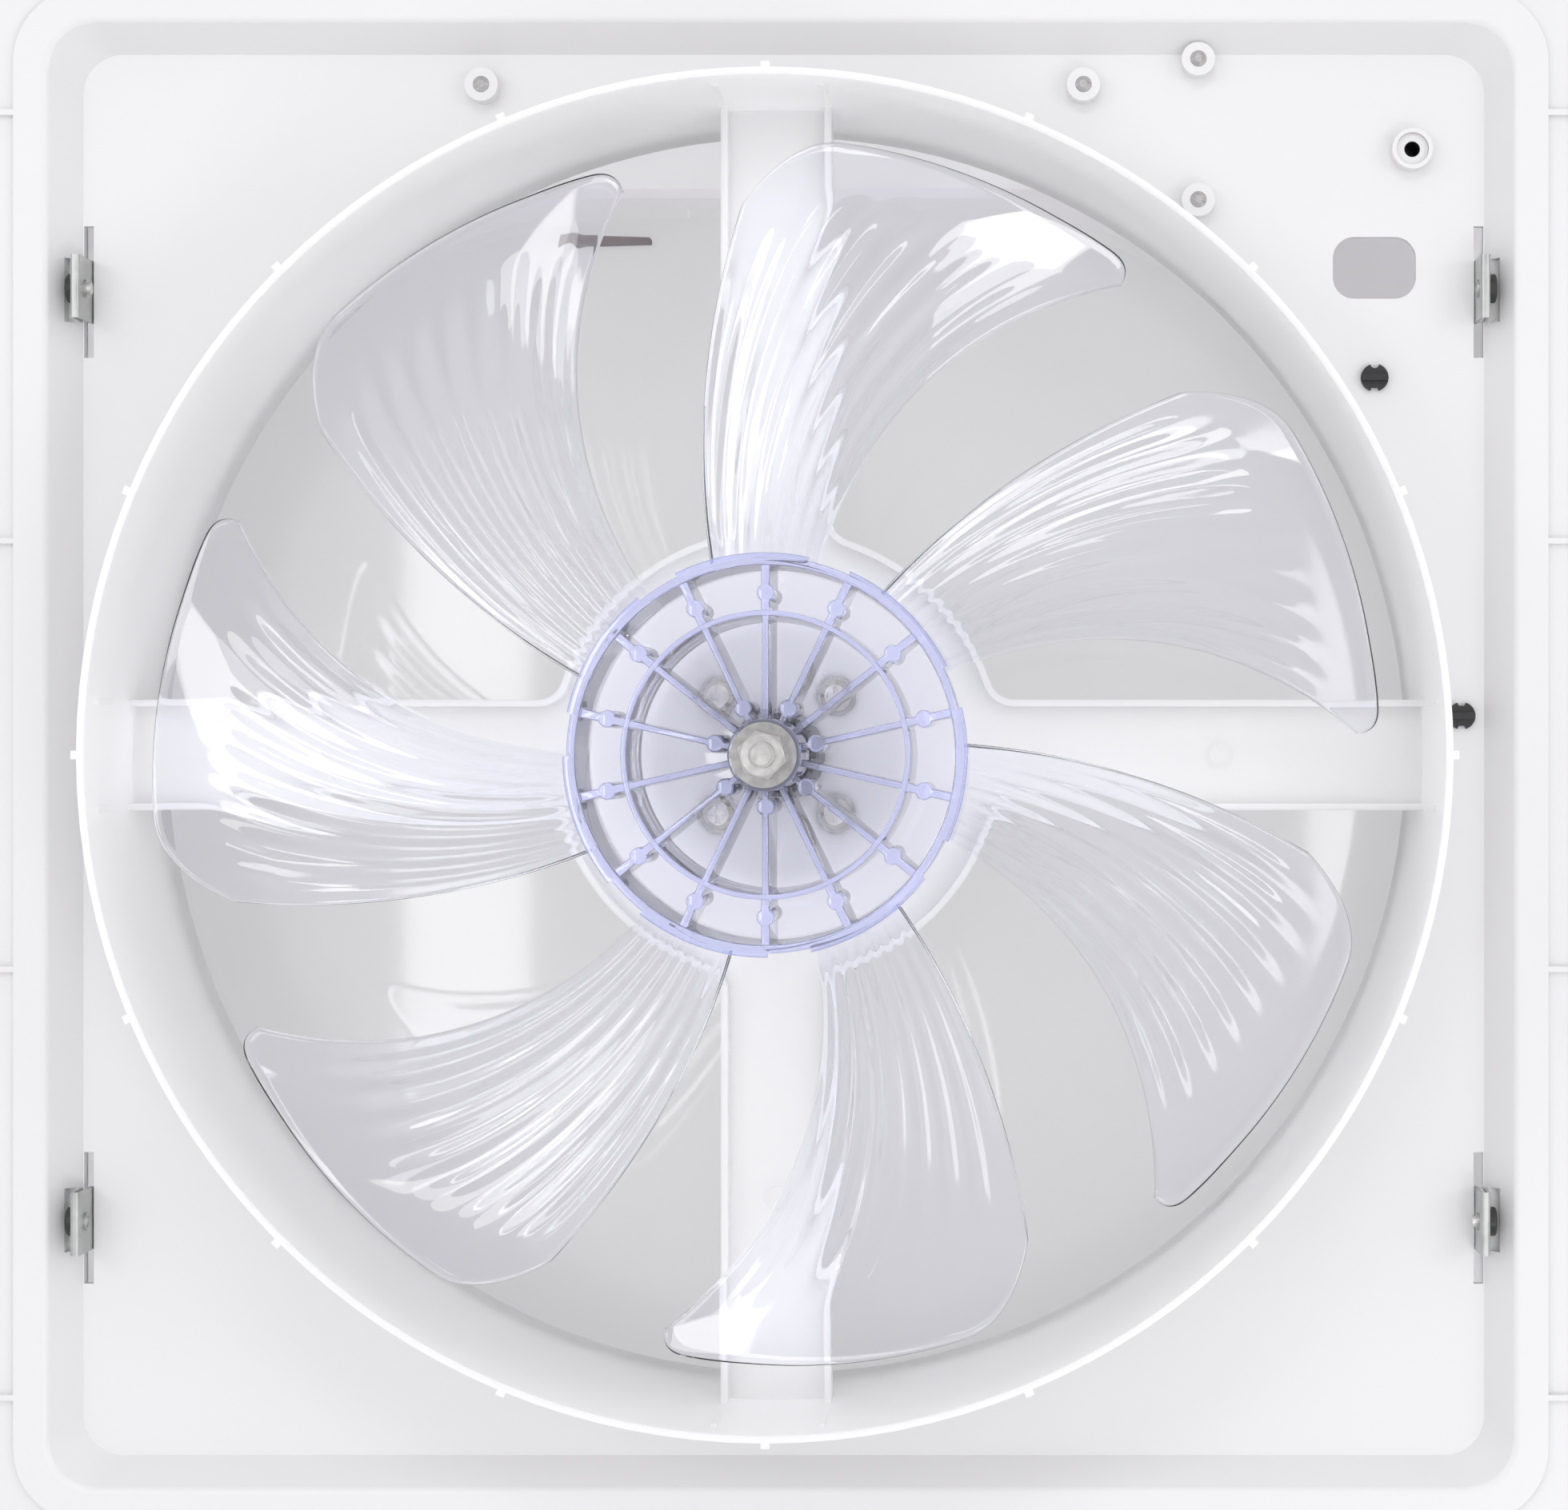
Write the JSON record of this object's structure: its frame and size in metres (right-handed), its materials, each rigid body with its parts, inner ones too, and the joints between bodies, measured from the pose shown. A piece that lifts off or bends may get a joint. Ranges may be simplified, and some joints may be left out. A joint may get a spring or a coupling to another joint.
{
  "type": "roof vent fan",
  "caption": "Square roof vent with a flanged pan, a tall fan ring with a motor on a four-armed carrier, a clear fluted impeller and a crank-lifted smoked lid.",
  "frame": {"origin": "centre of the roof flange's underside, on the fan axis", "axes": "+Z out of the roof along the fan axis, +Y towards the lid hinges"},
  "size_m": [0.436, 0.436, 0.128],
  "materials": {
    "white_abs": "satin moulded",
    "clear_blade": "clear polished",
    "smoked_lid": "smoked gloss",
    "steel": "plain bright",
    "zinc": "zinc plated",
    "black_metal": "black oxide",
    "black_plastic": "satin moulded",
    "motor_steel": "plated",
    "magnet": "ferrite",
    "copper": "wound",
    "seal_rubber": "matt foam"
  },
  "bodies": {
    "base": {"base_pan": "white_abs", "fan_shroud": "white_abs", "motor_case": "motor_steel", "motor_end_bell": "motor_steel", "front_bearing": "steel", "rear_bearing": "steel", "magnets": "magnet", "brush_holder": "black_plastic", "brushes": "magnet", "motor_screws": "steel", "motor_washers": "steel", "lid_seal": "seal_rubber", "hinge_brackets": "zinc", "hinge_pins": "steel", "hinge_screws": "steel", "lift_screws": "steel", "shroud_screws": "steel", "lift_housing": "white_abs", "clip_nuts": "zinc", "clip_screws": "black_metal", "twist_plugs": "black_plastic"},
    "fan": {"motor_shaft": "steel", "armature": "motor_steel", "windings": "copper", "commutator": "copper", "impeller": "clear_blade", "drive_collar": "black_plastic", "hub_washer": "steel", "hub_nut": "steel"},
    "lid": {"lid": "smoked_lid", "lid_track": "white_abs", "lid_strap": "steel"},
    "lift": {"worm_wheel": "white_abs", "lift_arm": "zinc", "roller_pin": "steel"},
    "roller": {"lift_roller": "black_plastic"},
    "crank": {"crank_shaft": "white_abs"}
  },
  "joints": [
    {"name": "fan_spin", "type": "hinge", "parent": "base", "child": "fan", "pos_m": [0, 0, 0], "axis": [0, 0, 1], "continuous": true},
    {"name": "crank_turn", "type": "hinge", "parent": "base", "child": "crank", "pos_m": [-0.1553, 0.1495, 0], "axis": [0, 0, 1], "range_deg": [0, 1920]},
    {"name": "lift_swing", "type": "hinge", "parent": "base", "child": "lift", "pos_m": [0, 0.1623, 0.026], "axis": [-1, 0, 0], "range_deg": [0, 64]},
    {"name": "lid_hinge", "type": "hinge", "parent": "base", "child": "lid", "pos_m": [0, 0.203, 0.031], "axis": [-1, 0, 0], "range_deg": [0, 41.79]},
    {"name": "roller_spin", "type": "hinge", "parent": "lift", "child": "roller", "pos_m": [-0.1684, 0.0923, 0.026], "axis": [1, 0, 0], "continuous": true}
  ],
  "couplings": [
    {"joint": "lift_swing", "follows": "lid_hinge", "ratio": 1.5314},
    {"joint": "crank_turn", "follows": "lid_hinge", "ratio": 45.942}
  ]
}
